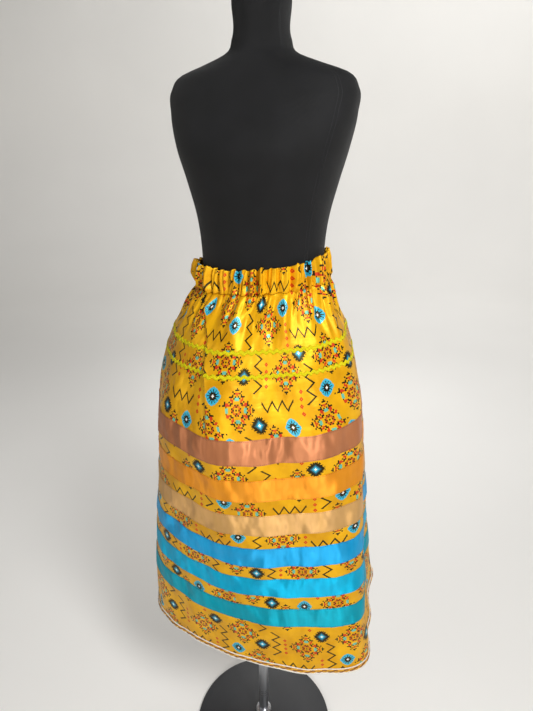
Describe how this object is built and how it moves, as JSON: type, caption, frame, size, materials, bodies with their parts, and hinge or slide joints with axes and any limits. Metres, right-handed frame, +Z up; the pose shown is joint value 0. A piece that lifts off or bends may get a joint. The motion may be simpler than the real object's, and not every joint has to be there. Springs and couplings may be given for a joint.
{
  "type": "ribbon skirt on a dress form",
  "caption": "Gathered midi skirt of printed satin with rows of satin ribbon, rickrack and an edged hem, on a limbless dress form with a pole stand.",
  "frame": {"origin": "centre of the stand's foot, on the floor, under the pole", "axes": "+Z up along the pole; the skirt's front faces -Y; its left side as worn is at +X"},
  "size_m": [0.5677, 0.5299, 1.7973],
  "materials": {
    "printed_satin": "yellow-gold polyester satin with a printed repeat",
    "ribbon_brown": "copper brown satin ribbon",
    "ribbon_orange": "orange satin ribbon",
    "ribbon_cream": "pale apricot satin ribbon",
    "ribbon_sky_blue": "sky blue satin ribbon",
    "ribbon_turquoise": "turquoise satin ribbon",
    "ribbon_teal": "teal satin ribbon",
    "rickrack": "chartreuse woven rickrack",
    "hem_edge": "white thread edge with a rope-like stitch",
    "form_jersey": "black stretch jersey",
    "stand_steel": "brushed steel tube",
    "stand_paint": "satin black powder coat"
  },
  "bodies": {
    "root": {"skirt_front": "printed_satin", "skirt_back": "printed_satin", "waist_casing": "printed_satin", "ribbon_brown_front": "ribbon_brown", "ribbon_brown_back": "ribbon_brown", "ribbon_orange_front": "ribbon_orange", "ribbon_orange_back": "ribbon_orange", "ribbon_cream_front": "ribbon_cream", "ribbon_cream_back": "ribbon_cream", "ribbon_sky_blue_front": "ribbon_sky_blue", "ribbon_sky_blue_back": "ribbon_sky_blue", "ribbon_turquoise_front": "ribbon_turquoise", "ribbon_turquoise_back": "ribbon_turquoise", "ribbon_teal_front": "ribbon_teal", "ribbon_teal_back": "ribbon_teal", "rickrack_1_front": "rickrack", "rickrack_1_back": "rickrack", "rickrack_2_front": "rickrack", "rickrack_2_back": "rickrack", "hem_band_front": "hem_edge", "hem_band_back": "hem_edge", "form_torso": "form_jersey", "form_neck_cap": "form_jersey", "stand_pole": "stand_steel", "stand_socket": "stand_steel", "stand_foot": "stand_paint"}
  },
  "joints": []
}
